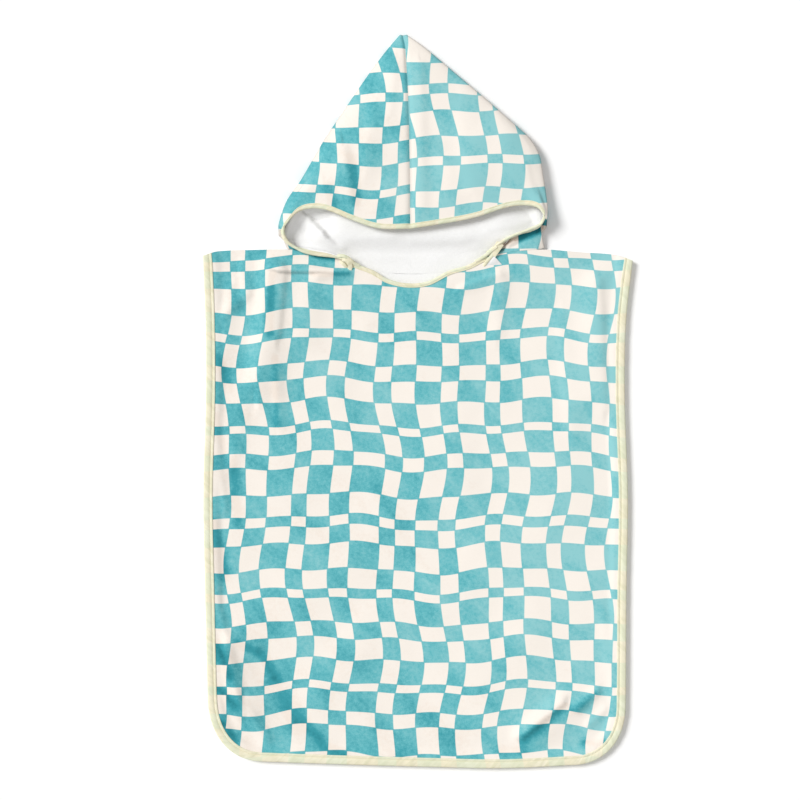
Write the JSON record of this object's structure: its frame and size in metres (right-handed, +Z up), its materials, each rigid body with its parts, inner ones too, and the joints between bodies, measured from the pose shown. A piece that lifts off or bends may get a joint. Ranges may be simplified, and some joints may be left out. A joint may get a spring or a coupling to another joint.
{
  "type": "hooded bath poncho, laid out flat",
  "caption": "Child's hooded bath poncho in double-faced terry, laid flat front up, with a deep two-part hood, open sides and bound edges.",
  "frame": {"origin": "on the surface the poncho lies on, under the middle of its bounding box", "axes": "+Z up from the surface, +Y along the garment from hem to hood peak, +X to the right of the view from above"},
  "size_m": [0.6014, 1.026, 0.0282],
  "materials": {
    "printed_terry": "velour terry, teal and cream wavy check outside, white loops inside",
    "bias_tape": "woven cotton, matt"
  },
  "bodies": {
    "root": {"front_panel": "printed_terry", "back_panel": "printed_terry", "hood_left": "printed_terry", "hood_right": "printed_terry", "front_binding": "bias_tape", "back_binding": "bias_tape", "neck_binding": "bias_tape", "face_binding": "bias_tape"}
  },
  "joints": []
}
